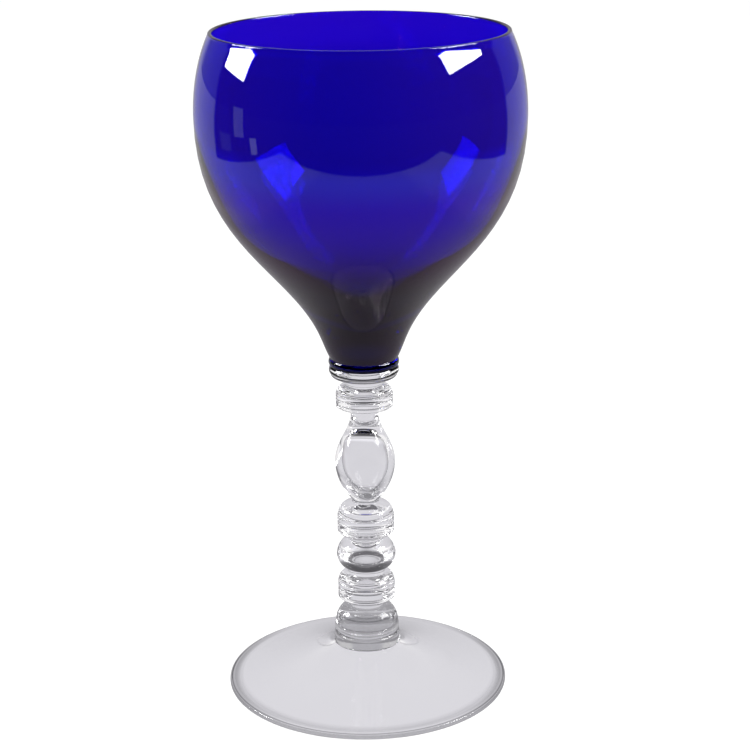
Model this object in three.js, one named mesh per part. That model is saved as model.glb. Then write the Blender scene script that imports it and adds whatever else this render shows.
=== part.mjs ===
// A large water goblet: a blown cobalt bowl on a tall clear stem of ringed discs and knops, over a wide foot.
// Every piece is one gather of glass turned about the upright axis, and is fused to the next on a flat seam.
// Sizes are millimetres and leans are degrees. +Z is up, and the origin is where the axis meets the table.
import * as THREE from "three";

// Segments round the axis, and steps along each kind of curve.
const WIDE_SEGMENTS = 48;
const STEM_SEGMENTS = 32;
const BOWL_STEPS = 7;
const FOOT_STEPS = 7;
const KNOP_STEPS = 6;
const RIB_STEPS = 4;
const EDGE_STEPS = 3;
const FINE_STEPS = 2;

// Bowl. Its outside is three curves: from the seat to the waist, from there to the belly, and on to the lip.
const BOWL_LIP_RADIUS = 44.9;
const BOWL_LIP_LEAN = 25;
const BOWL_LIP_WALL = 1.3;
const BOWL_BELLY_RADIUS = 49.9;
const BOWL_BELLY_WALL = 1.4;
const BOWL_WAIST_RADIUS = 21.8;
const BOWL_WAIST_LEAN = 39.5;
const BOWL_SEAT_RADIUS = 10.5;
const BOWL_SEAT_LEAN = 28.5;
const BOWL_BASE_RADIUS = 9.3;
const LIP_ABOVE_BELLY = 24.4;
const BELLY_ABOVE_WAIST = 55.5;
const WAIST_ABOVE_SEAT = 20.3;

// How far each curve of the bowl follows the lean at its end, as a share of the height of that curve.
const LIP_PULL = 0.344;
const BELLY_PULL = 0.532;
const WAIST_PULL = 0.35;
const FLARE_PULL = 0.663;
const SEAT_PULL = 0.278;

// Cavity of the bowl: a rounded cone up to its shoulder, and one curve from there to the belly.
const CAVITY_FLOOR_BELOW_WAIST = 7.1;
const CAVITY_SHOULDER_RADIUS = 28.9;
const CAVITY_SHOULDER_ABOVE_WAIST = 13.6;
const CAVITY_SHOULDER_LEAN = 47.5;
const CAVITY_TIP_REACH = 6.9;
const CAVITY_CONE_REACH = 1.7;
const CAVITY_LOWER_PULL = 0.46;
const CAVITY_UPPER_PULL = 0.33;

// Clear collar with two ribs. The base of the bowl sits in the cone-shaped seat in its top.
const COLLAR_SEAT_DEPTH = 3;
const COLLAR_UNDERSIDE = 1.4;
const COLLAR_GROOVE_RADIUS = 10.4;
const COLLAR_RIBS = 2;
const COLLAR_RIB_HEIGHT = 2.55;
const COLLAR_RIB_BULGE = 0.5;

// Ringed discs. Each has ribs round its rim, a domed shoulder above them and a rounded underside.
const RIM_RIBS = 2;
const RIM_RIB_BULGE = 0.35;
const UPPER_DISC = { groove: 8.6, underside: 1.6, rib: 1.7, shoulder: 2.2 };
const MIDDLE_DISC = { groove: 8.7, underside: 2.1, rib: 2.15, shoulder: 4.2 };
const LOWER_DISC = { groove: 8.8, underside: 1.7, rib: 2.2, shoulder: 2.7 };

// Bead on top of the upper disc, and the short neck over it.
const BEAD_RADIUS = 6;
const BEAD_HEIGHT = 1.5;
const BEAD_BULGE = 0.15;
const BEAD_NECK_HEIGHT = 1;

// Egg knop, with a plain neck at each end.
const EGG_RADIUS = 9.45;
const EGG_LOWER_NECK = 1.1;
const EGG_LOWER_HEIGHT = 12.3;
const EGG_LOWER_LEAN = 46;
const EGG_UPPER_HEIGHT = 14.9;
const EGG_UPPER_LEAN = -6;
const EGG_UPPER_NECK = 3.1;
const EGG_END_PULL = 0.3;
const EGG_MIDDLE_PULL = 0.4;

// Flattened ball knop, with fine rings round its upper neck.
const BALL_RADIUS = 9.4;
const BALL_LOWER_NECK = 2.4;
const BALL_LOWER_HEIGHT = 3.3;
const BALL_UPPER_HEIGHT = 5.75;
const NECK_RINGS = 3;
const NECK_RING_HEIGHT = 0.65;
const NECK_RING_BULGE = 0.2;

// Domed base knop, with one rib round its foot and a plain neck on top.
const BASE_RIB_HEIGHT = 2.8;
const BASE_RIB_BULGE = 0.5;
const BASE_DOME_RADIUS = 10;
const BASE_DOME_HEIGHT = 6;
const BASE_NECK = 2.4;

// Collar on the middle of the foot, with a rounded shoulder.
const FOOT_COLLAR_HEIGHT = 3.7;
const FOOT_COLLAR_RADIUS = 10.4;
const FOOT_COLLAR_SHOULDER = 1;

// Foot: a low cone that stands on a flat ring near its edge. The hollow under it follows its top.
const FOOT_RADIUS = 44.7;
const FOOT_EDGE = 1.8;
const FOOT_HEIGHT = 13.5;
const FOOT_RING_WIDTH = 3;
const FOOT_EDGE_LEAN = -77;
const FOOT_EDGE_PULL = 0.4;
const FOOT_TOP_LEAN = -62;
const FOOT_TOP_PULL = 0.3;
const HOLLOW_HEIGHT = 11.8;
const HOLLOW_SHOULDER = 10.2;
const HOLLOW_TIP_SHARE = 0.5;
const HOLLOW_SHOULDER_PULL = 0.35;

// Radii of the flat seams where one piece is fused to the next, from the foot up.
const FOOT_SEAM = 10.6;
const FOOT_COLLAR_SEAM = 9.8;
const BASE_NECK_SEAM = 5.3;
const LOWER_DISC_SEAM = 5.9;
const BALL_NECK_SEAM = 5.5;
const MIDDLE_DISC_SEAM = 4.3;
const EGG_SEAM = 4.3;
const UPPER_DISC_SEAM = 5.8;

const cobaltGlass = new THREE.MeshStandardMaterial({
  color: 0x1a0f8c,
  roughness: 0.02,
  metalness: 0,
  transparent: true,
  opacity: 0.85,
});
const clearGlass = new THREE.MeshStandardMaterial({
  color: 0xe6e5ea,
  roughness: 0.02,
  metalness: 0,
  transparent: true,
  opacity: 0.35,
});

// A point of a profile: its radius, and its height in its own piece.
function at(radius, height) {
  return new THREE.Vector2(radius, height);
}

// The point at a distance from another, along a line that leans outwards from straight up.
function along(start, lean, distance) {
  const angle = THREE.MathUtils.degToRad(lean);
  return at(start.x + distance * Math.sin(angle), start.y + distance * Math.cos(angle));
}

// A profile is a list of points from the axis, out and up round the piece, and back to the axis.
function addCurve(profile, firstPull, lastPull, end, steps) {
  const curve = new THREE.CubicBezierCurve(profile.at(-1), firstPull, lastPull, end);
  profile.push(...curve.getPoints(steps).slice(1));
}

function addRound(profile, corner, end, steps) {
  const curve = new THREE.QuadraticBezierCurve(profile.at(-1), corner, end);
  profile.push(...curve.getPoints(steps).slice(1));
}

// A quarter of an ellipse about a centre, drawn upwards: out to the widest radius, or in from it.
function addQuarter(profile, centre, width, height, outwards) {
  const start = outwards ? -Math.PI / 2 : 0;
  const curve = new THREE.EllipseCurve(centre.x, centre.y, width, height, start, start + Math.PI / 2);
  profile.push(...curve.getPoints(KNOP_STEPS).slice(1));
}

// Convex ribs one over another, with a groove of the given radius between each and the next.
function addRibs(profile, count, groove, height, bulge, steps = RIB_STEPS) {
  for (let i = 0; i < count; i++) {
    const foot = profile.at(-1).y;
    const end = at(groove, foot + height);
    addRound(profile, at(groove + 2 * bulge, foot + height / 2), end, steps);
  }
}

// Straight up at the same radius.
function addNeck(profile, height) {
  const foot = profile.at(-1);
  profile.push(at(foot.x, foot.y + height));
}

// Closes the profile on the axis and turns it about the upright axis.
function revolve(profile, segments) {
  const top = profile.at(-1);
  if (top.x > 0) profile.push(at(0, top.y));
  return new THREE.LatheGeometry(profile, segments).rotateX(Math.PI / 2);
}

// The height of a piece is that of its own highest point.
function heightOf(geometry) {
  geometry.computeBoundingBox();
  return geometry.boundingBox.max.z;
}

// Bowl: the lip and belly are one wall thick, and below them the cavity tapers faster than the outside.
function bowl() {
  const seat = at(BOWL_SEAT_RADIUS, COLLAR_SEAT_DEPTH);
  const waist = at(BOWL_WAIST_RADIUS, seat.y + WAIST_ABOVE_SEAT);
  const belly = at(BOWL_BELLY_RADIUS, waist.y + BELLY_ABOVE_WAIST);
  const lip = at(BOWL_LIP_RADIUS, belly.y + LIP_ABOVE_BELLY);
  const profile = [at(0, 0), at(BOWL_BASE_RADIUS, 0), seat];
  addCurve(
    profile,
    along(seat, BOWL_SEAT_LEAN, SEAT_PULL * WAIST_ABOVE_SEAT),
    along(waist, BOWL_WAIST_LEAN, -FLARE_PULL * WAIST_ABOVE_SEAT),
    waist,
    BOWL_STEPS,
  );
  addCurve(
    profile,
    along(waist, BOWL_WAIST_LEAN, WAIST_PULL * BELLY_ABOVE_WAIST),
    along(belly, 0, -BELLY_PULL * BELLY_ABOVE_WAIST),
    belly,
    BOWL_STEPS,
  );
  addCurve(
    profile,
    along(belly, 0, LIP_PULL * LIP_ABOVE_BELLY),
    along(lip, -BOWL_LIP_LEAN, -LIP_PULL * LIP_ABOVE_BELLY),
    lip,
    BOWL_STEPS,
  );

  const innerLip = at(lip.x - BOWL_LIP_WALL, lip.y);
  const lipTop = at(lip.x - BOWL_LIP_WALL / 2, lip.y + BOWL_LIP_WALL / 2);
  addRound(profile, at(lip.x, lipTop.y), lipTop, EDGE_STEPS);
  addRound(profile, at(innerLip.x, lipTop.y), innerLip, EDGE_STEPS);

  const innerBelly = at(belly.x - BOWL_BELLY_WALL, belly.y);
  const shoulder = at(CAVITY_SHOULDER_RADIUS, waist.y + CAVITY_SHOULDER_ABOVE_WAIST);
  const floor = at(0, waist.y - CAVITY_FLOOR_BELOW_WAIST);
  const rise = innerBelly.y - shoulder.y;
  addCurve(
    profile,
    along(innerLip, -BOWL_LIP_LEAN, -LIP_PULL * LIP_ABOVE_BELLY),
    along(innerBelly, 0, LIP_PULL * LIP_ABOVE_BELLY),
    innerBelly,
    BOWL_STEPS,
  );
  addCurve(
    profile,
    along(innerBelly, 0, -CAVITY_UPPER_PULL * rise),
    along(shoulder, CAVITY_SHOULDER_LEAN, CAVITY_LOWER_PULL * rise),
    shoulder,
    BOWL_STEPS,
  );
  addCurve(
    profile,
    along(shoulder, CAVITY_SHOULDER_LEAN, -CAVITY_CONE_REACH),
    at(CAVITY_TIP_REACH, floor.y),
    floor,
    BOWL_STEPS,
  );
  return revolve(profile, WIDE_SEGMENTS);
}

function bowlCollar() {
  const profile = [at(0, 0), at(UPPER_DISC_SEAM, 0)];
  const rimFoot = at(COLLAR_GROOVE_RADIUS, COLLAR_UNDERSIDE);
  addRound(profile, at(COLLAR_GROOVE_RADIUS, 0), rimFoot, EDGE_STEPS);
  addRibs(profile, COLLAR_RIBS - 1, COLLAR_GROOVE_RADIUS, COLLAR_RIB_HEIGHT, COLLAR_RIB_BULGE);
  addRibs(profile, 1, BOWL_SEAT_RADIUS, COLLAR_RIB_HEIGHT, COLLAR_RIB_BULGE);
  profile.push(at(BOWL_BASE_RADIUS, profile.at(-1).y - COLLAR_SEAT_DEPTH));
  return revolve(profile, WIDE_SEGMENTS);
}

// A ringed disc up to the top of its shoulder.
function discProfile(disc, lowerSeam, upperSeam) {
  const profile = [at(0, 0), at(lowerSeam, 0)];
  addRound(profile, at(disc.groove, 0), at(disc.groove, disc.underside), EDGE_STEPS);
  addRibs(profile, RIM_RIBS, disc.groove, disc.rib, RIM_RIB_BULGE);
  const rimTop = profile.at(-1).y;
  const corner = at(disc.groove, rimTop + disc.shoulder / 2);
  addRound(profile, corner, at(upperSeam, rimTop + disc.shoulder), EDGE_STEPS);
  return profile;
}

function upperRingedDisc() {
  const profile = discProfile(UPPER_DISC, EGG_SEAM, BEAD_RADIUS);
  addRibs(profile, 1, BEAD_RADIUS, BEAD_HEIGHT, BEAD_BULGE);
  profile.push(at(UPPER_DISC_SEAM, profile.at(-1).y + BEAD_NECK_HEIGHT));
  return revolve(profile, STEM_SEGMENTS);
}

function eggKnop() {
  const profile = [at(0, 0), at(MIDDLE_DISC_SEAM, 0)];
  addNeck(profile, EGG_LOWER_NECK);
  const lowerEnd = profile.at(-1);
  const middle = at(EGG_RADIUS, lowerEnd.y + EGG_LOWER_HEIGHT);
  const upperEnd = at(EGG_SEAM, middle.y + EGG_UPPER_HEIGHT);
  addCurve(
    profile,
    along(lowerEnd, EGG_LOWER_LEAN, EGG_END_PULL * EGG_LOWER_HEIGHT),
    along(middle, 0, -EGG_MIDDLE_PULL * EGG_LOWER_HEIGHT),
    middle,
    KNOP_STEPS,
  );
  addCurve(
    profile,
    along(middle, 0, EGG_MIDDLE_PULL * EGG_UPPER_HEIGHT),
    along(upperEnd, EGG_UPPER_LEAN, -EGG_END_PULL * EGG_UPPER_HEIGHT),
    upperEnd,
    KNOP_STEPS,
  );
  addNeck(profile, EGG_UPPER_NECK);
  return revolve(profile, STEM_SEGMENTS);
}

function middleRingedDisc() {
  return revolve(discProfile(MIDDLE_DISC, BALL_NECK_SEAM, MIDDLE_DISC_SEAM), STEM_SEGMENTS);
}

function ballKnop() {
  const profile = [at(0, 0), at(LOWER_DISC_SEAM, 0)];
  addNeck(profile, BALL_LOWER_NECK);
  const middle = profile.at(-1).y + BALL_LOWER_HEIGHT;
  const lowerWidth = BALL_RADIUS - LOWER_DISC_SEAM;
  const upperWidth = BALL_RADIUS - BALL_NECK_SEAM;
  addQuarter(profile, at(LOWER_DISC_SEAM, middle), lowerWidth, BALL_LOWER_HEIGHT, true);
  addQuarter(profile, at(BALL_NECK_SEAM, middle), upperWidth, BALL_UPPER_HEIGHT, false);
  addRibs(profile, NECK_RINGS, BALL_NECK_SEAM, NECK_RING_HEIGHT, NECK_RING_BULGE, FINE_STEPS);
  return revolve(profile, STEM_SEGMENTS);
}

function lowerRingedDisc() {
  return revolve(discProfile(LOWER_DISC, BASE_NECK_SEAM, LOWER_DISC_SEAM), STEM_SEGMENTS);
}

function baseKnop() {
  const profile = [at(0, 0), at(FOOT_COLLAR_SEAM, 0)];
  addRibs(profile, 1, FOOT_COLLAR_SEAM, BASE_RIB_HEIGHT, BASE_RIB_BULGE);
  profile.push(at(BASE_DOME_RADIUS, BASE_RIB_HEIGHT));
  const width = BASE_DOME_RADIUS - BASE_NECK_SEAM;
  addQuarter(profile, at(BASE_NECK_SEAM, BASE_RIB_HEIGHT), width, BASE_DOME_HEIGHT, false);
  addNeck(profile, BASE_NECK);
  return revolve(profile, STEM_SEGMENTS);
}

function footCollar() {
  const profile = [at(0, 0), at(FOOT_SEAM, 0)];
  profile.push(at(FOOT_COLLAR_RADIUS, FOOT_COLLAR_HEIGHT - FOOT_COLLAR_SHOULDER));
  const corner = at(FOOT_COLLAR_RADIUS, FOOT_COLLAR_HEIGHT);
  addRound(profile, corner, at(FOOT_COLLAR_SEAM, FOOT_COLLAR_HEIGHT), EDGE_STEPS);
  return revolve(profile, STEM_SEGMENTS);
}

function foot() {
  const round = FOOT_EDGE / 2;
  const ringOuter = FOOT_RADIUS - round;
  const ringInner = at(ringOuter - FOOT_RING_WIDTH, 0);
  const shoulder = at(FOOT_SEAM, HOLLOW_SHOULDER);
  const hollowReach = ringInner.x - shoulder.x;
  const profile = [at(0, HOLLOW_HEIGHT)];
  addCurve(
    profile,
    at(HOLLOW_TIP_SHARE * FOOT_SEAM, HOLLOW_HEIGHT),
    along(shoulder, FOOT_TOP_LEAN, HOLLOW_SHOULDER_PULL * FOOT_SEAM),
    shoulder,
    EDGE_STEPS,
  );
  addCurve(
    profile,
    along(shoulder, FOOT_TOP_LEAN, -FOOT_TOP_PULL * hollowReach),
    along(ringInner, FOOT_EDGE_LEAN, FOOT_EDGE_PULL * hollowReach),
    ringInner,
    FOOT_STEPS,
  );
  profile.push(at(ringOuter, 0));
  addRound(profile, at(FOOT_RADIUS, 0), at(FOOT_RADIUS, round), EDGE_STEPS);
  addRound(profile, at(FOOT_RADIUS, FOOT_EDGE), at(ringOuter, FOOT_EDGE), EDGE_STEPS);
  const reach = ringOuter - FOOT_SEAM;
  const end = at(FOOT_SEAM, FOOT_HEIGHT);
  addCurve(
    profile,
    along(profile.at(-1), FOOT_EDGE_LEAN, FOOT_EDGE_PULL * reach),
    along(end, FOOT_TOP_LEAN, -FOOT_TOP_PULL * reach),
    end,
    FOOT_STEPS,
  );
  return revolve(profile, WIDE_SEGMENTS);
}

// The pieces from the table up. Each stands on the one before it, and the bowl sits down in its collar.
const pieces = [
  ["foot", foot(), clearGlass],
  ["foot_collar", footCollar(), clearGlass],
  ["base_knop", baseKnop(), clearGlass],
  ["lower_ringed_disc", lowerRingedDisc(), clearGlass],
  ["ball_knop", ballKnop(), clearGlass],
  ["middle_ringed_disc", middleRingedDisc(), clearGlass],
  ["egg_knop", eggKnop(), clearGlass],
  ["upper_ringed_disc", upperRingedDisc(), clearGlass],
  ["bowl_collar", bowlCollar(), clearGlass],
  ["bowl", bowl(), cobaltGlass],
];

const goblet = new THREE.Group();
let level = 0;
for (const [name, geometry, material] of pieces) {
  const mesh = new THREE.Mesh(geometry, material);
  mesh.name = name;
  mesh.position.z = name === "bowl" ? level - COLLAR_SEAT_DEPTH : level;
  level += heightOf(geometry);
  goblet.add(mesh);
}

export default goblet;
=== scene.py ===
# A large water goblet: a cobalt blue bowl on a clear stem of ringed discs and knops, over a wide clear foot.
# Each piece is a profile drawn beside the upright axis and spun round it. Profiles are in millimetres.
import math

import bpy
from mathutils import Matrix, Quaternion, Vector


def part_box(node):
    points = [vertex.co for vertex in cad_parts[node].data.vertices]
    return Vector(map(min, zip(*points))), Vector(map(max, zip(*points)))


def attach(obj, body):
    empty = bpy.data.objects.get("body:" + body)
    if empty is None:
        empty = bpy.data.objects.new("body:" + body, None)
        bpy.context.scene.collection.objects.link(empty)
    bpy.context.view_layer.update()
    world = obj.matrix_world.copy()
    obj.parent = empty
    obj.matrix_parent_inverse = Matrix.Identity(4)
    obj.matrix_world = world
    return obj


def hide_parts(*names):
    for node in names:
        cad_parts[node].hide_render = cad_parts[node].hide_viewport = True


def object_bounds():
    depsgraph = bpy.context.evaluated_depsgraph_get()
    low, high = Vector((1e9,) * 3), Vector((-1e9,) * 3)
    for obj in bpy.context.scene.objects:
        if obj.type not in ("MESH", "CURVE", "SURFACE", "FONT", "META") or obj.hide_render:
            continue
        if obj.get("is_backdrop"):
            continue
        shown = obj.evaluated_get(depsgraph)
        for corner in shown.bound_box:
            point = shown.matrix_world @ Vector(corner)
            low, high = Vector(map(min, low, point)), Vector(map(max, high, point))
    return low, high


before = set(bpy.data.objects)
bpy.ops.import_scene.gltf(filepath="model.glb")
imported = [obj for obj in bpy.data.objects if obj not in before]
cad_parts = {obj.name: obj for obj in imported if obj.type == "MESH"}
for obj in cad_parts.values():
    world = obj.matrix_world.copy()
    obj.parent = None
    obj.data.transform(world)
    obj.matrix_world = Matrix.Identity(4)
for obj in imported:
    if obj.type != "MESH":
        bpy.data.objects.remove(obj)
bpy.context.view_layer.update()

MM = 0.001

# Fineness of the meshes: steps round the axis, and points along each curve of a profile.
WIDE_STEPS = 192
STEM_STEPS = 128
CURVE_POINTS = 14
WELD = 0.002 * MM
SHARP_ANGLE = math.radians(35)

# Bowl. Its outside is three curves: from the seat to the waist, from there to the belly, and on to the lip.
# A small gap keeps its base off the collar.
LIP_RADIUS = 44.9
LIP_LEAN = 25
LIP_WALL = 1.3
BELLY_RADIUS = 49.9
BELLY_WALL = 1.4
WAIST_RADIUS = 21.8
WAIST_LEAN = 39.5
SEAT_RADIUS = 10.5
SEAT_LEAN = 28.5
SEAT_DEPTH = 3
BASE_RADIUS = 9.3
LIP_ABOVE_BELLY = 24.4
BELLY_ABOVE_WAIST = 55.5
WAIST_ABOVE_SEAT = 20.3
LIP_PULL = 0.344
BELLY_PULL = 0.532
WAIST_PULL = 0.35
FLARE_PULL = 0.663
SEAT_PULL = 0.278
SEAT_GAP = 0.02

# Cavity of the bowl: a rounded cone up to its shoulder, and one curve from there to the belly.
CAVITY_FLOOR_BELOW_WAIST = 7.1
CAVITY_SHOULDER_RADIUS = 28.9
CAVITY_SHOULDER_ABOVE_WAIST = 13.6
CAVITY_SHOULDER_LEAN = 47.5
CAVITY_TIP_REACH = 6.9
CAVITY_CONE_REACH = 1.7
CAVITY_LOWER_PULL = 0.46
CAVITY_UPPER_PULL = 0.33

# Collar with two ribs under the bowl.
COLLAR_UNDERSIDE = 1.4
COLLAR_GROOVE_RADIUS = 10.4
COLLAR_RIBS = 2
COLLAR_RIB_HEIGHT = 2.55
COLLAR_RIB_BULGE = 0.5

# Ringed discs: groove radius, and heights of the underside, of each band and of the shoulder.
RIM_BANDS = 2
BAND_RISE = 0.3
BAND_CORNER = 0.45
RIM_STRAIGHT = 0.9
SHOULDER_SWELL = 0.18
SHOULDER_FULLNESS = 0.75
UPPER_DISC = {"groove": 8.6, "underside": 1.6, "rib": 1.7, "shoulder": 2.2}
MIDDLE_DISC = {"groove": 8.7, "underside": 2.1, "rib": 2.15, "shoulder": 4.2}
LOWER_DISC = {"groove": 8.8, "underside": 1.7, "rib": 2.2, "shoulder": 2.7}

# Bead on top of the upper disc.
BEAD_RADIUS = 6
BEAD_HEIGHT = 1.5
BEAD_BULGE = 0.15
BEAD_NECK_HEIGHT = 1

# Egg knop.
EGG_RADIUS = 9.45
EGG_LOWER_NECK = 1.1
EGG_LOWER_HEIGHT = 12.3
EGG_LOWER_LEAN = 46
EGG_UPPER_HEIGHT = 14.9
EGG_UPPER_LEAN = -6
EGG_UPPER_NECK = 3.1
EGG_END_PULL = 0.3
EGG_MIDDLE_PULL = 0.4

# Air bubble in the egg knop. Heights are above the egg's lower end, and the waist is a share of the bubble's height.
BUBBLE_RADIUS = 7.48
BUBBLE_LOW = 2.26
BUBBLE_HIGH = 24.23
BUBBLE_WAIST = 0.518
BUBBLE_LOWER_HANDLES = (0.243, 0.573)
BUBBLE_UPPER_HANDLES = (0.516, 0.654)
BUBBLE_LEAN = math.radians(3.5)
BUBBLE_PIVOT = (0, 0, 75 * MM)

# Ball knop, with fine rings round its upper neck.
BALL_RADIUS = 9.4
BALL_LOWER_NECK = 1.8
BALL_LOWER_HEIGHT = 4.4
BALL_LOWER_HANDLES = (0.7, 0.255)
BALL_UPPER_HEIGHT = 5.25
BALL_UPPER_HANDLES = (0.46, 0.485)
NECK_RINGS = 3
NECK_RING_HEIGHT = 0.65
NECK_RING_BULGE = 0.15

# Domed base knop with one rib round its foot.
BASE_RIB_HEIGHT = 2.8
BASE_RIB_BULGE = 0.5
BASE_DOME_RADIUS = 10
BASE_DOME_HEIGHT = 6
BASE_NECK = 2.4

# Collar that flares on to the foot.
FOOT_COLLAR_HEIGHT = 3.7
FOOT_COLLAR_RADIUS = 10.4
FOOT_COLLAR_SHOULDER = 1

# Foot: a low cone, hollow underneath.
FOOT_RADIUS = 44.7
FOOT_EDGE = 1.8
FOOT_HEIGHT = 13.5
FOOT_RING_WIDTH = 3
FOOT_EDGE_LEAN = -77
FOOT_EDGE_PULL = 0.4
FOOT_TOP_LEAN = -62
FOOT_TOP_PULL = 0.3
HOLLOW_HEIGHT = 11.8
HOLLOW_SHOULDER = 10.2
HOLLOW_TIP_SHARE = 0.5
HOLLOW_SHOULDER_PULL = 0.35

# Radii of the flat seams where one piece is fused to the next.
FOOT_SEAM = 10.6
FOOT_COLLAR_SEAM = 9.8
BASE_NECK_SEAM = 5.3
LOWER_DISC_SEAM = 5.9
BALL_NECK_SEAM = 5.5
MIDDLE_DISC_SEAM = 4.3
EGG_SEAM = 4.3
UPPER_DISC_SEAM = 5.8
SEAM_TOLERANCE = 0.02

# Places of the seam materials in a clear piece's list, after its glass. Only the bowl's collar has the second one.
SEAM_SLOT = 1
SEAT_SLOT = 2

# Handles of a cubic curve that follows a parabola, and one that follows a quarter of an ellipse.
PARABOLA_HANDLE = 2 / 3
ELLIPSE_HANDLE = 0.5523

WHITE = (1, 1, 1, 1)
BLACK = (0, 0, 0, 1)

# Clear glass. A tint is what its surface lets through, and a gleam is the share that is left of its mirroring.
GLASS_IOR = 1.52
STEM_TINT = (0.97, 0.97, 0.975, 1)
STEM_GLEAM = 0.35
# Painted shade: the base knop and the foot collar are greyed, for the darker side of the table they show.
BASE_KNOP_PAINTED_SHADE = (0.9, 0.9, 0.91, 1)
FOOT_COLLAR_PAINTED_SHADE = (0.56, 0.56, 0.57, 1)
FOOT_COLLAR_SHADE_ENDS = (16.8 * MM, 17.4 * MM)
BASE_KNOP_SHADE_ENDS = (27 * MM, 31 * MM)
SEAT_TINT = (0.62, 0.42, 0.45, 1)

# Painted shade: thin grey lines painted in the grooves of the stem, and one more across the base knop.
GROOVE_PAINTED_SHADE = (0.33, 0.33, 0.34, 1)
PAINTED_LINE_WIDTH = 0.34
KNOP_PAINTED_LINE_HEIGHT = 23.2

# Painted shade: the bubble's glass is darkened between these shares of facing away.
BUBBLE_GLEAM = 0.12
BUBBLE_SHADE_FACING = (0.45, 0.85)
BUBBLE_EDGE_PAINTED_SHADE = (0.12, 0.12, 0.13, 1)

# Foot glass, with painted shade: a dark edge, a thin line and a soft shade inside the rim. Each starts, and ends,
# between two distances in from the rim, in millimetres. At the back they keep only a share.
FOOT_TINT = (0.985, 0.985, 0.99, 1)
FOOT_GLEAM = 0.2
FOOT_WAVES_PER_METRE = 45
FOOT_WAVE_DEPTH = 0.12 * MM
FOOT_HAZE = 0.12
FOOT_EDGE_PAINTED_SHADE = (0.5, 0.5, 0.51, 1)
FOOT_EDGE_STARTS = (0.35, 0.15)
FOOT_LINE_PAINTED_SHADE = (0.3, 0.3, 0.31, 1)
FOOT_LINE_STARTS = (1.0, 0.85)
FOOT_LINE_ENDS = (0.3, 0.55)
FOOT_SOFT_PAINTED_SHADE = (0.7, 0.7, 0.71, 1)
FOOT_SOFT_STARTS = (4.8, 2.6)
FOOT_SOFT_ENDS = (1.35, 1.7)
FOOT_BACK_TO_FRONT = (42 * MM, 5 * MM)
FOOT_BACK_SHARE = 0.35

# Cobalt glass. What it mirrors is violet between two heights.
COBALT_TINT = (1, 0.25, 0.84, 1)
COBALT_CLEARNESS = 0.993
COBALT_PASSES = (0.25, 0.08, 0.97, 1)
COBALT_DENSITY = 4000
COBALT_WAVES_PER_METRE = 25
COBALT_WAVE_DEPTH = 0.02 * MM
VIOLET_GLEAM = (1, 0.4, 1, 1)
VIOLET_STARTS = (132 * MM, 147 * MM)
VIOLET_ENDS = (174 * MM, 164 * MM)

# Haze of hand-worked glass: how fine it is, and the part of its noise that shows.
HAZE_PER_METRE = 60
HAZE_DETAIL = 3
HAZE_SHOWS = (0.45, 0.75)
WAVE_DETAIL = 1.5

# Studio, in metres. The camera sees plain white. The glass sees a pale grey table and backdrop, with a darker room
# in front. A turn is the sine of a direction's angle from straight sideways, or from straight ahead for the strip.
TABLE_SIZE = 12
TABLE_FRONT = -0.4
TABLE_SIDE = 0.55
PAPER = (0.75, 0.74, 0.78, 1)
PAPER_SIDES = (1, 0.99, 1, 1)
STRIP_HALF = 0.21
STRIP_TURN = 0.36
STRIP_SOFTNESS = 0.06
ROOM = (0.03, 0.028, 0.035, 1)
DIM_ROOM = (0.16, 0.155, 0.17, 1)
UPPER_ROOM = (0.08, 0.078, 0.085, 1)
UPPER_ROOM_STARTS = (0, 0.26)
BACKDROP_TURN = 0.44
EDGE_SOFTNESS = 0.02
FLOOR_GLOW = 0.985
FLOOR_PAINT = 0.1

# Shades on the table under the foot's edge, strongest at the sides, and round the stem.
RIM_SHADE = 0.38
RIM_SHADE_STARTS = (0.0408, 0.043)
RIM_SHADE_ENDS = (0.047, 0.046)
RIM_SHADE_TURN = 0.5
STEM_SHADE = 0.4
STEM_SHADE_REACH = 0.13

# Brightness of the table seen through the glass, near and farther back.
NEAR_GAIN = 0.96
MIDDLE_GAIN = 0.28
MIDDLE_STARTS = (0.24, 0.36)
FAR_LOSS = 0.42
FAR_STARTS = (0.57, 0.66)
FARTHEST_GAIN = 0.16
FARTHEST_STARTS = (1.36, 1.5)

# Shares of the table and the backdrop that the outside of the glass mirrors.
TABLE_REFLECTS = 0.57
# Within this reach of the axis the mirrored table is darker: painted shade round the goblet.
UNDER_FOOT_SHADE_REACH = 2 * FOOT_RADIUS * MM
BACKDROP_REFLECTS = 0.17
BEHIND_REFLECTS = 0.57
STRAIGHT_BEHIND = (0.78, 0.93)

# Pale cards that face the left of the bowl: name, place, width and height, and glow.
PALE_CARDS = [
    ("tall_card", (-0.63, -0.03, 0.128), (0.1, 0.13), 0.5),
    ("low_card", (-0.58, 0.12, 0.055), (0.12, 0.05), 0.12),
    ("small_card", (-0.6, -0.16, 0.04), (0.06, 0.06), 0.9),
]
CARD_THICKNESS = 0.004

# Softboxes: name, turn from the front to the right and rise in degrees, width and height, and watts.
SOFTBOXES = [
    ("left_softbox", -99, 24, (0.5, 0.5), 19),
    ("right_softbox", 83, 32, (0.74, 0.5), 28),
]
SOFTBOX_DISTANCE = 1.2
SOFTBOX_AIM = Vector((0, 0, 0.17))

# Camera, as solved from the rim and foot of the goblet.
CAMERA_PLACE = (0, -0.5897, 0.2878)
CAMERA_DIP = math.radians(17.42)
CAMERA_ROLL = math.radians(-0.73)
CAMERA_LENS = 95.43
CAMERA_SENSOR = 36
CAMERA_SHIFT = 0.0147


def at(radius, height):
    """A point of a profile, in the upright plane through the axis."""
    return Vector((radius, 0, height))


def along(start, lean, distance):
    """The point at a distance from another, along a line that leans outwards from straight up."""
    angle = math.radians(lean)
    return start + distance * at(math.sin(angle), math.cos(angle))


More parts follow.
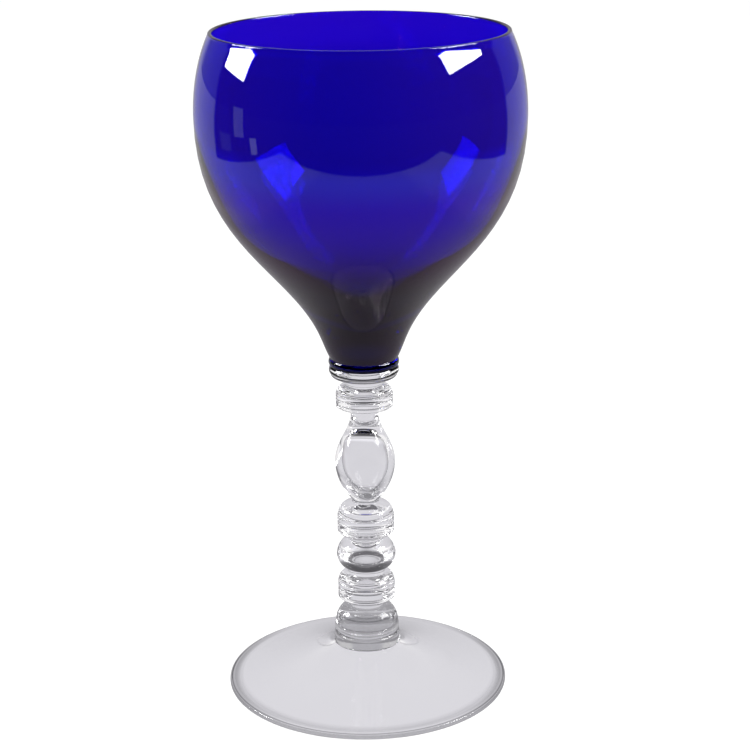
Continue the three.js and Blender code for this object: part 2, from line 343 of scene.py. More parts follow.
class Profile:
    """Curves and straight lines from the axis, out and up round a piece, and back to the axis."""

    def __init__(self, radius, height):
        self.knots = [{"place": at(radius, height)}]

    @property
    def end(self):
        return self.knots[-1]["place"]

    def line(self, radius, height):
        self.knots.append({"place": at(radius, height)})

    def curve(self, first, last, end):
        """A cubic curve with the given handles."""
        self.knots[-1]["after"] = first
        self.knots.append({"place": end, "before": last})

    def round(self, corner, end):
        """A rounded corner: it leaves towards the corner and arrives from it."""
        start = self.end
        self.curve(start.lerp(corner, PARABOLA_HANDLE), end.lerp(corner, PARABOLA_HANDLE), end)

    def quarter(self, corner, end, first=ELLIPSE_HANDLE, last=ELLIPSE_HANDLE):
        """A quarter turn that touches both sides of the corner: of an ellipse, unless its handles are given."""
        start = self.end
        self.curve(start.lerp(corner, first), end.lerp(corner, last), end)

    def ribs(self, count, groove, height, bulge):
        """Convex ribs one over another, with a groove between each and the next."""
        for _ in range(count):
            foot = self.end.z
            self.round(at(groove + 2 * bulge, foot + height / 2), at(groove, foot + height))

    def bands(self, count, groove, height):
        """Flat bands with rounded edges, one over another, with a fine groove between each and the next."""
        rise, corner = groove + BAND_RISE, at(0, BAND_CORNER)
        for _ in range(count):
            low, high = at(rise, self.end.z), at(rise, self.end.z + height)
            self.quarter(low, low + corner)
            self.line(rise, (high - corner).z)
            self.quarter(high, at(groove, high.z))

    def neck(self, height):
        """Straight up at the same radius."""
        self.line(self.end.x, self.end.z + height)


def spin_profile(name, profile, level, steps):
    """Draws the profile as a curve, turns it to a mesh and spins that round the axis."""
    bpy.ops.object.select_all(action="DESELECT")
    bpy.ops.curve.primitive_bezier_curve_add()
    piece = bpy.context.object
    piece.name = name
    piece.data.resolution_u = CURVE_POINTS
    points = piece.data.splines[0].bezier_points
    points.add(len(profile.knots) - len(points))
    lift = at(0, level)
    for point, knot in zip(points, profile.knots):
        point.co = (knot["place"] + lift) * MM
        point.handle_left_type = "FREE" if "before" in knot else "VECTOR"
        point.handle_right_type = "FREE" if "after" in knot else "VECTOR"
        point.handle_left = (knot.get("before", knot["place"]) + lift) * MM
        point.handle_right = (knot.get("after", knot["place"]) + lift) * MM
    bpy.ops.object.convert(target="MESH")
    bpy.ops.object.mode_set(mode="EDIT")
    bpy.ops.mesh.select_all(action="SELECT")
    bpy.ops.mesh.spin(steps=steps, angle=math.tau, center=(0, 0, 0), axis=(0, 0, 1))
    bpy.ops.mesh.select_all(action="SELECT")
    bpy.ops.mesh.remove_doubles(threshold=WELD)
    bpy.ops.mesh.normals_make_consistent(inside=False)
    bpy.ops.object.mode_set(mode="OBJECT")
    bpy.ops.object.shade_smooth_by_angle(angle=SHARP_ANGLE)
    return piece


def level_of(node):
    """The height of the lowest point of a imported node, in millimetres."""
    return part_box(node)[0].z / MM


def top_of(node):
    """The height of its highest point."""
    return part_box(node)[1].z / MM


def closed(profile):
    """The profile brought straight back to the axis."""
    profile.line(0, profile.end.z)
    return profile


def bowl_profile():
    seat = at(SEAT_RADIUS, SEAT_DEPTH)
    waist = at(WAIST_RADIUS, seat.z + WAIST_ABOVE_SEAT)
    belly = at(BELLY_RADIUS, waist.z + BELLY_ABOVE_WAIST)
    lip = at(LIP_RADIUS, belly.z + LIP_ABOVE_BELLY)
    profile = Profile(0, SEAT_GAP)
    profile.line(BASE_RADIUS - SEAT_GAP, SEAT_GAP)
    profile.line(seat.x, seat.z)
    profile.curve(
        along(seat, SEAT_LEAN, SEAT_PULL * WAIST_ABOVE_SEAT),
        along(waist, WAIST_LEAN, -FLARE_PULL * WAIST_ABOVE_SEAT),
        waist,
    )
    profile.curve(
        along(waist, WAIST_LEAN, WAIST_PULL * BELLY_ABOVE_WAIST),
        along(belly, 0, -BELLY_PULL * BELLY_ABOVE_WAIST),
        belly,
    )
    profile.curve(
        along(belly, 0, LIP_PULL * LIP_ABOVE_BELLY),
        along(lip, -LIP_LEAN, -LIP_PULL * LIP_ABOVE_BELLY),
        lip,
    )
    inner_lip = at(lip.x - LIP_WALL, lip.z)
    top = at(lip.x - LIP_WALL / 2, lip.z + LIP_WALL / 2)
    profile.round(at(lip.x, top.z), top)
    profile.round(at(inner_lip.x, top.z), inner_lip)
    inner_belly = at(belly.x - BELLY_WALL, belly.z)
    shoulder = at(CAVITY_SHOULDER_RADIUS, waist.z + CAVITY_SHOULDER_ABOVE_WAIST)
    floor = at(0, waist.z - CAVITY_FLOOR_BELOW_WAIST)
    rise = inner_belly.z - shoulder.z
    profile.curve(
        along(inner_lip, -LIP_LEAN, -LIP_PULL * LIP_ABOVE_BELLY),
        along(inner_belly, 0, LIP_PULL * LIP_ABOVE_BELLY),
        inner_belly,
    )
    profile.curve(
        along(inner_belly, 0, -CAVITY_UPPER_PULL * rise),
        along(shoulder, CAVITY_SHOULDER_LEAN, CAVITY_LOWER_PULL * rise),
        shoulder,
    )
    profile.curve(
        along(shoulder, CAVITY_SHOULDER_LEAN, -CAVITY_CONE_REACH),
        at(CAVITY_TIP_REACH, floor.z),
        floor,
    )
    return profile


def collar_profile():
    profile = Profile(0, 0)
    profile.line(UPPER_DISC_SEAM, 0)
    profile.round(at(COLLAR_GROOVE_RADIUS, 0), at(COLLAR_GROOVE_RADIUS, COLLAR_UNDERSIDE))
    profile.ribs(COLLAR_RIBS - 1, COLLAR_GROOVE_RADIUS, COLLAR_RIB_HEIGHT, COLLAR_RIB_BULGE)
    profile.ribs(1, SEAT_RADIUS, COLLAR_RIB_HEIGHT, COLLAR_RIB_BULGE)
    profile.line(BASE_RADIUS, profile.end.z - SEAT_DEPTH)
    return closed(profile)


def disc_profile(disc, lower_seam, upper_seam):
    """A ringed disc up to the top of its shoulder."""
    profile = Profile(0, 0)
    profile.line(lower_seam, 0)
    rim = disc["groove"] + BAND_RISE
    profile.round(at(rim, 0), at(rim, disc["underside"] - RIM_STRAIGHT))
    profile.line(rim, disc["underside"] - BAND_CORNER)
    profile.quarter(at(rim, disc["underside"]), at(disc["groove"], disc["underside"]))
    profile.bands(RIM_BANDS, disc["groove"], disc["rib"])
    rim_top = profile.end.z
    shoulder = disc["shoulder"]
    corner = at(disc["groove"] + SHOULDER_SWELL, rim_top + SHOULDER_FULLNESS * shoulder)
    profile.round(corner, at(upper_seam, rim_top + shoulder))
    return profile


def upper_disc_profile():
    profile = disc_profile(UPPER_DISC, EGG_SEAM, BEAD_RADIUS)
    profile.ribs(1, BEAD_RADIUS, BEAD_HEIGHT, BEAD_BULGE)
    profile.line(UPPER_DISC_SEAM, profile.end.z + BEAD_NECK_HEIGHT)
    return closed(profile)


def egg_profile():
    profile = Profile(0, 0)
    profile.line(MIDDLE_DISC_SEAM, 0)
    profile.neck(EGG_LOWER_NECK)
    lower = profile.end
    middle = at(EGG_RADIUS, lower.z + EGG_LOWER_HEIGHT)
    upper = at(EGG_SEAM, middle.z + EGG_UPPER_HEIGHT)
    profile.curve(
        along(lower, EGG_LOWER_LEAN, EGG_END_PULL * EGG_LOWER_HEIGHT),
        along(middle, 0, -EGG_MIDDLE_PULL * EGG_LOWER_HEIGHT),
        middle,
    )
    profile.curve(
        along(middle, 0, EGG_MIDDLE_PULL * EGG_UPPER_HEIGHT),
        along(upper, EGG_UPPER_LEAN, -EGG_END_PULL * EGG_UPPER_HEIGHT),
        upper,
    )
    profile.neck(EGG_UPPER_NECK)
    return closed(profile)


def bubble_profile():
    """The air bubble inside the egg knop."""
    middle = BUBBLE_LOW + BUBBLE_WAIST * (BUBBLE_HIGH - BUBBLE_LOW)
    profile = Profile(0, BUBBLE_LOW)
    profile.quarter(at(BUBBLE_RADIUS, BUBBLE_LOW), at(BUBBLE_RADIUS, middle), *BUBBLE_LOWER_HANDLES)
    profile.quarter(at(BUBBLE_RADIUS, BUBBLE_HIGH), at(0, BUBBLE_HIGH), *BUBBLE_UPPER_HANDLES)
    return profile


def ball_profile():
    profile = Profile(0, 0)
    profile.line(LOWER_DISC_SEAM, 0)
    profile.neck(BALL_LOWER_NECK)
    foot = profile.end.z
    middle = foot + BALL_LOWER_HEIGHT
    profile.quarter(at(BALL_RADIUS, foot), at(BALL_RADIUS, middle), *BALL_LOWER_HANDLES)
    top = middle + BALL_UPPER_HEIGHT
    profile.quarter(at(BALL_RADIUS, top), at(BALL_NECK_SEAM, top), *BALL_UPPER_HANDLES)
    profile.ribs(NECK_RINGS, BALL_NECK_SEAM, NECK_RING_HEIGHT, NECK_RING_BULGE)
    return closed(profile)


def base_knop_profile():
    profile = Profile(0, 0)
    profile.line(FOOT_COLLAR_SEAM, 0)
    profile.ribs(1, FOOT_COLLAR_SEAM, BASE_RIB_HEIGHT, BASE_RIB_BULGE)
    profile.line(BASE_DOME_RADIUS, BASE_RIB_HEIGHT)
    top = BASE_RIB_HEIGHT + BASE_DOME_HEIGHT
    profile.quarter(at(BASE_DOME_RADIUS, top), at(BASE_NECK_SEAM, top))
    profile.neck(BASE_NECK)
    return closed(profile)


def foot_collar_profile():
    profile = Profile(0, 0)
    profile.line(FOOT_SEAM, 0)
    profile.line(FOOT_COLLAR_RADIUS, FOOT_COLLAR_HEIGHT - FOOT_COLLAR_SHOULDER)
    profile.round(at(FOOT_COLLAR_RADIUS, FOOT_COLLAR_HEIGHT), at(FOOT_COLLAR_SEAM, FOOT_COLLAR_HEIGHT))
    return closed(profile)


def foot_profile():
    edge = FOOT_EDGE / 2
    ring_outer = FOOT_RADIUS - edge
    ring_inner = at(ring_outer - FOOT_RING_WIDTH, 0)
    shoulder = at(FOOT_SEAM, HOLLOW_SHOULDER)
    hollow_reach = ring_inner.x - shoulder.x
    profile = Profile(0, HOLLOW_HEIGHT)
    profile.curve(
        at(HOLLOW_TIP_SHARE * FOOT_SEAM, HOLLOW_HEIGHT),
        along(shoulder, FOOT_TOP_LEAN, HOLLOW_SHOULDER_PULL * FOOT_SEAM),
        shoulder,
    )
    profile.curve(
        along(shoulder, FOOT_TOP_LEAN, -FOOT_TOP_PULL * hollow_reach),
        along(ring_inner, FOOT_EDGE_LEAN, FOOT_EDGE_PULL * hollow_reach),
        ring_inner,
    )
    profile.line(ring_outer, 0)
    profile.round(at(FOOT_RADIUS, 0), at(FOOT_RADIUS, edge))
    profile.round(at(FOOT_RADIUS, FOOT_EDGE), at(ring_outer, FOOT_EDGE))
    reach = ring_outer - FOOT_SEAM
    end = at(FOOT_SEAM, FOOT_HEIGHT)
    profile.curve(
        along(profile.end, FOOT_EDGE_LEAN, FOOT_EDGE_PULL * reach),
        along(end, FOOT_TOP_LEAN, -FOOT_TOP_PULL * reach),
        end,
    )
    return closed(profile)


def grey(value):
    return (value, value, value, 1)


def give(tree, socket, value):
    """Sets a socket to a number or a colour, or links another node's output to it."""
    if isinstance(value, (int, float, tuple)):
        socket.default_value = value
    else:
        tree.links.new(value, socket)


def calculate(tree, operation, *values):
    """A Math node on numbers and other nodes' outputs."""
    node = tree.nodes.new("ShaderNodeMath")
    node.operation = operation
    for socket, value in zip(node.inputs, values):
        give(tree, socket, value)
    return node.outputs["Value"]


def product(tree, first, *others):
    """Several values multiplied together."""
    for other in others:
        first = calculate(tree, "MULTIPLY", first, other)
    return first


def opposite(tree, value):
    """1 where a value is 0, and 0 where it is 1."""
    return calculate(tree, "SUBTRACT", 1, value)


def ramp(tree, value, low, high, smooth=True):
    """Rises from 0 to 1 as a value goes from low to high."""
    node = tree.nodes.new("ShaderNodeMapRange")
    if smooth:
        node.interpolation_type = "SMOOTHSTEP"
    node.inputs["From Min"].default_value = low
    node.inputs["From Max"].default_value = high
    tree.links.new(value, node.inputs["Value"])
    return node.outputs["Result"]


def mix_colour(tree, share, first, second):
    """Goes from the first colour to the second as the share goes from 0 to 1."""
    node = tree.nodes.new("ShaderNodeMix")
    node.data_type = "RGBA"
    give(tree, node.inputs["A"], first)
    give(tree, node.inputs["B"], second)
    tree.links.new(share, node.inputs["Factor"])
    return node.outputs["Result"]


def coordinates(tree, kind):
    """The three parts of a place in Object coordinates, or of a direction in the world's Generated ones."""
    place = tree.nodes.new("ShaderNodeTexCoord")
    axes = tree.nodes.new("ShaderNodeSeparateXYZ")
    tree.links.new(place.outputs[kind], axes.inputs["Vector"])
    return axes.outputs["X"], axes.outputs["Y"], axes.outputs["Z"]


def from_axis(tree, x, y):
    """The level distance of a place from the axis."""
    square = calculate(tree, "ADD", calculate(tree, "MULTIPLY", x, x), calculate(tree, "MULTIPLY", y, y))
    return calculate(tree, "SQRT", square)


def blown_surface():
    """Node group: the faint unevenness of hand-worked glass, as a height and as a roughness."""
    group = bpy.data.node_groups.new("blown surface", "ShaderNodeTree")
    for name in ("Waves per Metre", "Haze"):
        group.interface.new_socket(name, in_out="INPUT", socket_type="NodeSocketFloat")
    for name in ("Height", "Roughness"):
        group.interface.new_socket(name, in_out="OUTPUT", socket_type="NodeSocketFloat")
    nodes = group.nodes
    link = group.links.new
    given = nodes.new("NodeGroupInput")
    made = nodes.new("NodeGroupOutput")
    place = nodes.new("ShaderNodeTexCoord")
    waves = nodes.new("ShaderNodeTexNoise")
    waves.inputs["Detail"].default_value = WAVE_DETAIL
    haze = nodes.new("ShaderNodeTexNoise")
    haze.inputs["Scale"].default_value = HAZE_PER_METRE
    haze.inputs["Detail"].default_value = HAZE_DETAIL
    spread = nodes.new("ShaderNodeMapRange")
    spread.inputs["From Min"].default_value, spread.inputs["From Max"].default_value = HAZE_SHOWS
    link(place.outputs["Object"], waves.inputs["Vector"])
    link(given.outputs["Waves per Metre"], waves.inputs["Scale"])
    link(place.outputs["Object"], haze.inputs["Vector"])
    link(haze.outputs["Fac"], spread.inputs["Value"])
    link(given.outputs["Haze"], spread.inputs["To Max"])
    link(waves.outputs["Fac"], made.inputs["Height"])
    link(spread.outputs["Result"], made.inputs["Roughness"])
    return group


def glass(name, tint, gleam=1, clearness=1):
    """Polished glass of one tint."""
    material = bpy.data.materials.new(name)
    material.use_nodes = True
    shader = material.node_tree.nodes["Principled BSDF"]
    shader.inputs["Base Color"].default_value = tint
    shader.inputs["Specular Tint"].default_value = grey(gleam)
    shader.inputs["Transmission Weight"].default_value = clearness
    shader.inputs["IOR"].default_value = GLASS_IOR
    shader.inputs["Roughness"].default_value = 0
    return material


def add_unevenness(material, surface, waves_per_metre, wave_depth, haze=0):
    """Gives a glass the waves of the surface group, and its haze if there is any."""
    nodes = material.node_tree.nodes
    link = material.node_tree.links.new
    shader = nodes["Principled BSDF"]
    unevenness = nodes.new("ShaderNodeGroup")
    unevenness.node_tree = surface
    unevenness.inputs["Waves per Metre"].default_value = waves_per_metre
    unevenness.inputs["Haze"].default_value = haze
    bump = nodes.new("ShaderNodeBump")
    bump.inputs["Distance"].default_value = wave_depth
    link(unevenness.outputs["Height"], bump.inputs["Height"])
    link(bump.outputs["Normal"], shader.inputs["Normal"])
    if haze:
        link(unevenness.outputs["Roughness"], shader.inputs["Roughness"])


def painted_line_heights():
    """The heights of the dark lines painted round the stem, as shade for its fine grooves, which bend the light away.
    """
    base = level_of("base_knop")
    heights = [level_of("foot_collar"), base, base + BASE_RIB_HEIGHT, KNOP_PAINTED_LINE_HEIGHT, level_of("upper_ringed_disc")]
    # Each disc with its grooves that get a painted line, counted up from the underside.
    discs = (
        ("upper_ringed_disc", UPPER_DISC, (0, 1, 2)),
        ("middle_ringed_disc", MIDDLE_DISC, (1,)),
        ("lower_ringed_disc", LOWER_DISC, (0, 1)),
    )
    for node, disc, grooves in discs:
        low = level_of(node) + disc["underside"]
        heights += [low + groove * disc["rib"] for groove in grooves]
    return heights


def stem_glass():
    """Clear glass with painted shade: greyer over the foot, for the darker table it shows, and a line in each groove.
    """
    material = glass("clear_glass", STEM_TINT, STEM_GLEAM)
    tree = material.node_tree
    _, _, height = coordinates(tree, "Object")
    # Painted shade over the foot collar and the base knop.
    tint = mix_colour(tree, ramp(tree, height, *FOOT_COLLAR_SHADE_ENDS), FOOT_COLLAR_PAINTED_SHADE, BASE_KNOP_PAINTED_SHADE)
    tint = mix_colour(tree, ramp(tree, height, *BASE_KNOP_SHADE_ENDS), tint, STEM_TINT)
    # Painted shade: a thin dark line at each of these heights.
    painted_lines = 0
    for groove in painted_line_heights():
        line = calculate(tree, "COMPARE", height, groove * MM, PAINTED_LINE_WIDTH / 2 * MM)
        painted_lines = calculate(tree, "MAXIMUM", line, painted_lines)
    tint = mix_colour(tree, painted_lines, tint, GROOVE_PAINTED_SHADE)
    tree.links.new(tint, tree.nodes["Principled BSDF"].inputs["Base Color"])
    return material


def bubble_glass():
    """Clear glass with painted shade where it is seen edge on, for the dark sides of the real bubble."""
    material = glass("bubble_wall", STEM_TINT, BUBBLE_GLEAM)
    tree = material.node_tree
    weight = tree.nodes.new("ShaderNodeLayerWeight")
    # Painted shade, by how far the surface faces away.
    edge = ramp(tree, weight.outputs["Facing"], *BUBBLE_SHADE_FACING)
    tint = mix_colour(tree, edge, STEM_TINT, BUBBLE_EDGE_PAINTED_SHADE)
    tree.links.new(tint, tree.nodes["Principled BSDF"].inputs["Base Color"])
    return material


def foot_glass(surface):
    """Uneven clear glass with painted shade at its rounded edge, for the dark room it shows all round the table."""
    material = glass("foot_glass", FOOT_TINT, FOOT_GLEAM)
    add_unevenness(material, surface, FOOT_WAVES_PER_METRE, FOOT_WAVE_DEPTH, FOOT_HAZE)
    tree = material.node_tree
    x, y, _ = coordinates(tree, "Object")
    reach = from_axis(tree, x, y)

    def in_from_rim(distances):
        start, full = distances
        return ramp(tree, reach, (FOOT_RADIUS - start) * MM, (FOOT_RADIUS - full) * MM)

    front = calculate(tree, "MULTIPLY", ramp(tree, y, *FOOT_BACK_TO_FRONT), 1 - FOOT_BACK_SHARE)
    front = calculate(tree, "ADD", front, FOOT_BACK_SHARE)
    # Painted shade: a soft shade, a dark edge and a thin dark line in the glass's colour, weaker at the back.
    soft = product(tree, in_from_rim(FOOT_SOFT_STARTS), in_from_rim(FOOT_SOFT_ENDS), front)
    edge = product(tree, in_from_rim(FOOT_EDGE_STARTS), front)
    line = product(tree, in_from_rim(FOOT_LINE_STARTS), in_from_rim(FOOT_LINE_ENDS), front)
    tint = mix_colour(tree, soft, FOOT_TINT, FOOT_SOFT_PAINTED_SHADE)
    tint = mix_colour(tree, edge, tint, FOOT_EDGE_PAINTED_SHADE)
    tint = mix_colour(tree, line, tint, FOOT_LINE_PAINTED_SHADE)
    tree.links.new(tint, tree.nodes["Principled BSDF"].inputs["Base Color"])
    return material


def cobalt_glass(surface):
    """Cobalt glass coloured by its depth. Below the seat it is fused to the collar, so no surface shows."""
    material = glass("cobalt_glass", COBALT_TINT, clearness=COBALT_CLEARNESS)
    add_unevenness(material, surface, COBALT_WAVES_PER_METRE, COBALT_WAVE_DEPTH)
    tree = material.node_tree
    shader = tree.nodes["Principled BSDF"]
    absorption = tree.nodes.new("ShaderNodeVolumeAbsorption")
    absorption.inputs["Color"].default_value = COBALT_PASSES
    absorption.inputs["Density"].default_value = COBALT_DENSITY
    tree.links.new(absorption.outputs["Volume"], tree.nodes["Material Output"].inputs["Volume"])
    _, _, height = coordinates(tree, "Object")
    seat_top = (level_of("bowl") + SEAT_DEPTH) * MM
    tree.links.new(calculate(tree, "GREATER_THAN", height, seat_top), shader.inputs["Alpha"])
    band = product(tree, ramp(tree, height, *VIOLET_STARTS), ramp(tree, height, *VIOLET_ENDS))
    tree.links.new(mix_colour(tree, band, WHITE, VIOLET_GLEAM), shader.inputs["Specular Tint"])
    return material


def bare_material(name):
    """A material whose surface is still to be made."""
    material = bpy.data.materials.new(name)
    material.use_nodes = True
    material.node_tree.nodes.remove(material.node_tree.nodes["Principled BSDF"])
    return material


def fused_seam(name, tint):
    """Where two gathers of glass have run together there is no surface left, at most a tint."""
    material = bare_material(name)
    tree = material.node_tree
    clear = tree.nodes.new("ShaderNodeBsdfTransparent")
    clear.inputs["Color"].default_value = tint
    tree.links.new(clear.outputs["BSDF"], tree.nodes["Material Output"].inputs["Surface"])
    return material


blown = blown_surface()
clear = stem_glass()
bubble_wall = bubble_glass()
foot_clear = foot_glass(blown)
seam = fused_seam("fused_seam", WHITE)
seat_seam = fused_seam("fused_seat", SEAT_TINT)
cobalt = cobalt_glass(blown)


def mark_seam(piece, low, high, radius, slot=SEAM_SLOT):
    """Gives a seam finish to the faces between two heights that lie within a radius of the axis."""
    mesh = piece.data
    for face in mesh.polygons:
        corners = [mesh.vertices[i].co / MM for i in face.vertices]
        inside = all(math.hypot(c.x, c.y) < radius + SEAM_TOLERANCE for c in corners)
        if inside and all(low - SEAM_TOLERANCE < c.z < high + SEAM_TOLERANCE for c in corners):
            face.material_index = slot


def add_bubble(egg):
    """Joins the bubble to the egg, with its faces turned to the air inside it."""
    bubble = spin_profile("bubble", bubble_profile(), level_of("egg_knop"), STEM_STEPS)
    bubble.data.materials.append(bubble_wall)
    bpy.ops.transform.rotate(value=BUBBLE_LEAN, orient_axis="Y", center_override=BUBBLE_PIVOT)
    bpy.ops.object.transform_apply(location=False, rotation=True, scale=False)
    bpy.ops.object.mode_set(mode="EDIT")
    bpy.ops.mesh.select_all(action="SELECT")
    bpy.ops.mesh.flip_normals()
    bpy.ops.object.mode_set(mode="OBJECT")
    bubble.select_set(True)
    egg.select_set(True)
    bpy.context.view_layer.objects.active = egg
    bpy.ops.object.join()


def add_piece(node, profile, steps, materials):
    piece = spin_profile(node + "_glass", profile, level_of(node), steps)
    for material in materials:
        piece.data.materials.append(material)
    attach(piece, "root")
    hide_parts(node)
    return piece


# Each clear piece: its name, its profile, its steps round, and the radii of the seams under it and on it.
CLEAR_PIECES = [
    ("foot", foot_profile(), WIDE_STEPS, None, FOOT_SEAM),
    ("foot_collar", foot_collar_profile(), STEM_STEPS, FOOT_SEAM, FOOT_COLLAR_SEAM),
    ("base_knop", base_knop_profile(), STEM_STEPS, FOOT_COLLAR_SEAM, BASE_NECK_SEAM),
    ("lower_ringed_disc", closed(disc_profile(LOWER_DISC, BASE_NECK_SEAM, LOWER_DISC_SEAM)),
     STEM_STEPS, BASE_NECK_SEAM, LOWER_DISC_SEAM),
    ("ball_knop", ball_profile(), STEM_STEPS, LOWER_DISC_SEAM, BALL_NECK_SEAM),
    ("middle_ringed_disc", closed(disc_profile(MIDDLE_DISC, BALL_NECK_SEAM, MIDDLE_DISC_SEAM)),
     STEM_STEPS, BALL_NECK_SEAM, MIDDLE_DISC_SEAM),
    ("egg_knop", egg_profile(), STEM_STEPS, MIDDLE_DISC_SEAM, EGG_SEAM),
    ("upper_ringed_disc", upper_disc_profile(), STEM_STEPS, EGG_SEAM, UPPER_DISC_SEAM),
    ("bowl_collar", collar_profile(), STEM_STEPS, UPPER_DISC_SEAM, None),
]

for node, profile, steps, seam_under, seam_on in CLEAR_PIECES:
    finish = foot_clear if node == "foot" else clear
    piece = add_piece(node, profile, steps, [finish, seam])
    if node == "egg_knop":
        add_bubble(piece)
    low, high = level_of(node), top_of(node)
    if seam_under:
        mark_seam(piece, low, low, seam_under)
    if seam_on:
        mark_seam(piece, high, high, seam_on)
    if node == "bowl_collar":
        piece.data.materials.append(seat_seam)
        mark_seam(piece, high - SEAT_DEPTH, high, SEAT_RADIUS, SEAT_SLOT)

add_piece("bowl", bowl_profile(), WIDE_STEPS, [cobalt])


def reflected(tree, rays):
    """1 for a ray that has been reflected on its way, 0 for one that only passed through."""
    return calculate(tree, "GREATER_THAN", rays.outputs["Glossy Depth"], 0.5)


def came_through(tree, rays):
    """1 for a ray that has passed into the glass or out of it."""
    return calculate(tree, "GREATER_THAN", rays.outputs["Transmission Depth"], 0.5)


def backdrop(tree, turn):
    """The paper that reaches round from behind."""
    return ramp(tree, turn, BACKDROP_TURN - EDGE_SOFTNESS, BACKDROP_TURN + EDGE_SOFTNESS, smooth=False)


def lit_room(tree, rays, wings, paper):
    """The paper, paler at its wings, and a dark room elsewhere, dimly lit for rays that came through the glass."""
    room = mix_colour(tree, came_through(tree, rays), ROOM, DIM_ROOM)
    return mix_colour(tree, paper, room, mix_colour(tree, wings, PAPER, PAPER_SIDES))


def outside_gain(tree, rays, amount):
    """1, or a share of it for rays reflected off the outside of the glass."""
    outside = product(tree, reflected(tree, rays), opposite(tree, came_through(tree, rays)))
    return opposite(tree, calculate(tree, "MULTIPLY", outside, 1 - amount))


def table_colour(tree, rays, side, turn, y):
    """The table as the glass sees it. Rays that only passed through see paper everywhere."""
    top = product(
        tree,
        ramp(tree, y, TABLE_FRONT - EDGE_SOFTNESS, TABLE_FRONT, smooth=False),
        ramp(tree, side, TABLE_SIDE + EDGE_SOFTNESS, TABLE_SIDE, smooth=False),
    )
    paper = calculate(tree, "MAXIMUM", top, backdrop(tree, turn))
    paper = calculate(tree, "MAXIMUM", paper, opposite(tree, reflected(tree, rays)))
    wings = ramp(tree, side, STRIP_HALF - STRIP_SOFTNESS / 2, STRIP_HALF + STRIP_SOFTNESS / 2)
    return lit_room(tree, rays, wings, paper)


def table_shade(tree, rays, side, reach):
    """How much the foot's edge and the stem shade the table."""
    sides = ramp(tree, calculate(tree, "DIVIDE", side, reach), RIM_SHADE_TURN, 1)
    rim = product(tree, ramp(tree, reach, *RIM_SHADE_STARTS), ramp(tree, reach, *RIM_SHADE_ENDS), RIM_SHADE, sides)
    stem = product(tree, ramp(tree, reach, STEM_SHADE_REACH, 0), reflected(tree, rays), STEM_SHADE)
    return calculate(tree, "MAXIMUM", rim, stem)


def table_strength(tree, rays, y, reach):
    """How bright the table is. Seen through the glass, it is brightest about half a metre back."""
    middle = calculate(tree, "MULTIPLY", ramp(tree, y, *MIDDLE_STARTS), MIDDLE_GAIN)
    far = calculate(tree, "MULTIPLY", ramp(tree, y, *FAR_STARTS), FAR_LOSS)
    farthest = calculate(tree, "MULTIPLY", ramp(tree, y, *FARTHEST_STARTS), FARTHEST_GAIN)
    gain = calculate(tree, "SUBTRACT", middle, calculate(tree, "SUBTRACT", far, farthest))
    gain = calculate(tree, "ADD", product(tree, gain, opposite(tree, reflected(tree, rays))), NEAR_GAIN)
    # Painted shade: the table the glass mirrors is darker near the foot.
    under_foot_shade = product(tree, reflected(tree, rays), ramp(tree, reach, UNDER_FOOT_SHADE_REACH, 0), 1 - TABLE_REFLECTS)
    mirrored = product(tree, outside_gain(tree, rays, TABLE_REFLECTS), opposite(tree, under_foot_shade))
    return product(tree, gain, calculate(tree, "MAXIMUM", mirrored, TABLE_REFLECTS))


def emission(tree, colour):
    node = tree.nodes.new("ShaderNodeEmission")
    give(tree, node.inputs["Color"], colour)
    return node


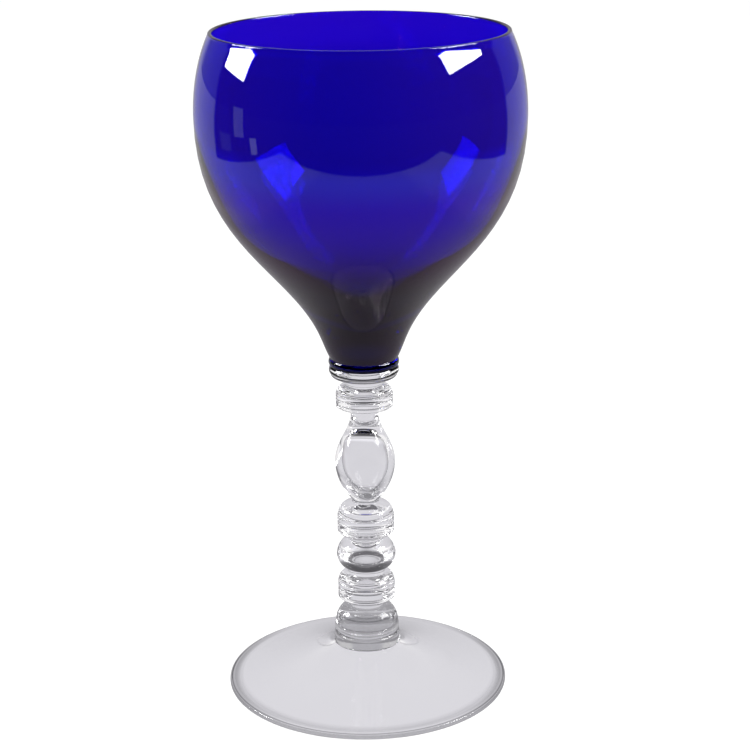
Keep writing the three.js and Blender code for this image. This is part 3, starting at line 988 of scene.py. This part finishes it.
def pale_table():
    """A table that is plain white to the camera, and paper with soft shades to the glass."""
    bpy.ops.object.select_all(action="DESELECT")
    bpy.ops.mesh.primitive_plane_add(size=TABLE_SIZE)
    table = bpy.context.object
    table.name = "table"
    material = bare_material("pale_table")
    tree = material.node_tree
    link = tree.links.new
    rays = tree.nodes.new("ShaderNodeLightPath")
    x, y, _ = coordinates(tree, "Object")
    side = calculate(tree, "ABSOLUTE", x)
    reach = from_axis(tree, x, y)
    turn = calculate(tree, "DIVIDE", y, reach)
    lit = table_colour(tree, rays, side, turn, y)
    shown = emission(tree, mix_colour(tree, table_shade(tree, rays, side, reach), lit, ROOM))
    link(table_strength(tree, rays, y, reach), shown.inputs["Strength"])
    glow = emission(tree, grey(FLOOR_GLOW))
    paint = tree.nodes.new("ShaderNodeBsdfDiffuse")
    paint.inputs["Color"].default_value = grey(FLOOR_PAINT)
    seen = tree.nodes.new("ShaderNodeAddShader")
    pick = tree.nodes.new("ShaderNodeMixShader")
    link(glow.outputs["Emission"], seen.inputs[0])
    link(paint.outputs["BSDF"], seen.inputs[1])
    link(rays.outputs["Is Camera Ray"], pick.inputs["Fac"])
    link(shown.outputs["Emission"], pick.inputs[1])
    link(seen.outputs["Shader"], pick.inputs[2])
    link(pick.outputs["Shader"], tree.nodes["Material Output"].inputs["Surface"])
    table.data.materials.append(material)
    table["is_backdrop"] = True


def studio_world():
    """The backdrop and the room. The backdrop darkens upwards, and the outside of the glass mirrors it dully."""
    world = bpy.data.worlds.new("studio")
    bpy.context.scene.world = world
    world.use_nodes = True
    tree = world.node_tree
    rays = tree.nodes.new("ShaderNodeLightPath")
    x, y, rise = coordinates(tree, "Generated")
    reach = from_axis(tree, x, y)
    turn = calculate(tree, "DIVIDE", y, reach)
    sideways = calculate(tree, "DIVIDE", calculate(tree, "ABSOLUTE", x), reach)
    through = opposite(tree, reflected(tree, rays))
    paper = calculate(tree, "MAXIMUM", backdrop(tree, turn), through)
    wings = ramp(tree, sideways, STRIP_TURN - STRIP_SOFTNESS, STRIP_TURN + STRIP_SOFTNESS)
    room = lit_room(tree, rays, wings, paper)
    upper = product(tree, ramp(tree, rise, *UPPER_ROOM_STARTS), through)
    room = mix_colour(tree, upper, room, UPPER_ROOM)
    behind = calculate(tree, "MULTIPLY", ramp(tree, turn, *STRAIGHT_BEHIND), BEHIND_REFLECTS)
    mirrored = calculate(tree, "MAXIMUM", outside_gain(tree, rays, BACKDROP_REFLECTS), behind)
    room = mix_colour(tree, mirrored, BLACK, room)
    shown = mix_colour(tree, rays.outputs["Is Camera Ray"], room, WHITE)
    tree.links.new(shown, tree.nodes["Background"].inputs["Color"])


def pale_card(name, place, size, glow):
    """A pale upright card that faces the bowl from the side."""
    bpy.ops.object.select_all(action="DESELECT")
    bpy.ops.mesh.primitive_cube_add(size=1, location=place)
    card = bpy.context.object
    card.name = name
    card.dimensions = (CARD_THICKNESS, *size)
    bpy.ops.object.transform_apply(location=False, rotation=False, scale=True)
    material = bare_material(name)
    tree = material.node_tree
    lit = emission(tree, grey(glow))
    tree.links.new(lit.outputs["Emission"], tree.nodes["Material Output"].inputs["Surface"])
    card.data.materials.append(material)
    card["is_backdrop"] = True


def soft_light(name, turn, rise, size, watts):
    """An area light that faces the bowl."""
    turn, rise = math.radians(turn), math.radians(rise)
    way = Vector((math.cos(rise) * math.sin(turn), -math.cos(rise) * math.cos(turn), math.sin(rise)))
    bpy.ops.object.select_all(action="DESELECT")
    bpy.ops.object.light_add(type="AREA", location=SOFTBOX_AIM + SOFTBOX_DISTANCE * way)
    light = bpy.context.object
    light.name = name
    light.data.shape = "RECTANGLE"
    light.data.size, light.data.size_y = size
    light.data.energy = watts
    light.rotation_euler = (-way).to_track_quat("-Z", "Y").to_euler()


pale_table()
studio_world()
for card in PALE_CARDS:
    pale_card(*card)
for softbox in SOFTBOXES:
    soft_light(*softbox)

bpy.ops.object.camera_add(location=CAMERA_PLACE)
camera = bpy.context.object
camera.name = "camera"
camera.data.lens = CAMERA_LENS
camera.data.sensor_width = CAMERA_SENSOR
camera.data.shift_x = CAMERA_SHIFT
tilt = Quaternion((1, 0, 0), math.pi / 2 - CAMERA_DIP)
camera.rotation_mode = "QUATERNION"
camera.rotation_quaternion = tilt @ Quaternion((0, 0, 1), CAMERA_ROLL)

# Light passes many layers of clear glass on its way through the stem.
scene = bpy.context.scene
scene.camera = camera
scene.view_settings.view_transform = "Standard"
scene.cycles.max_bounces = 32
scene.cycles.glossy_bounces = 24
scene.cycles.transmission_bounces = 32
scene.cycles.transparent_max_bounces = 64

low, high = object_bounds()
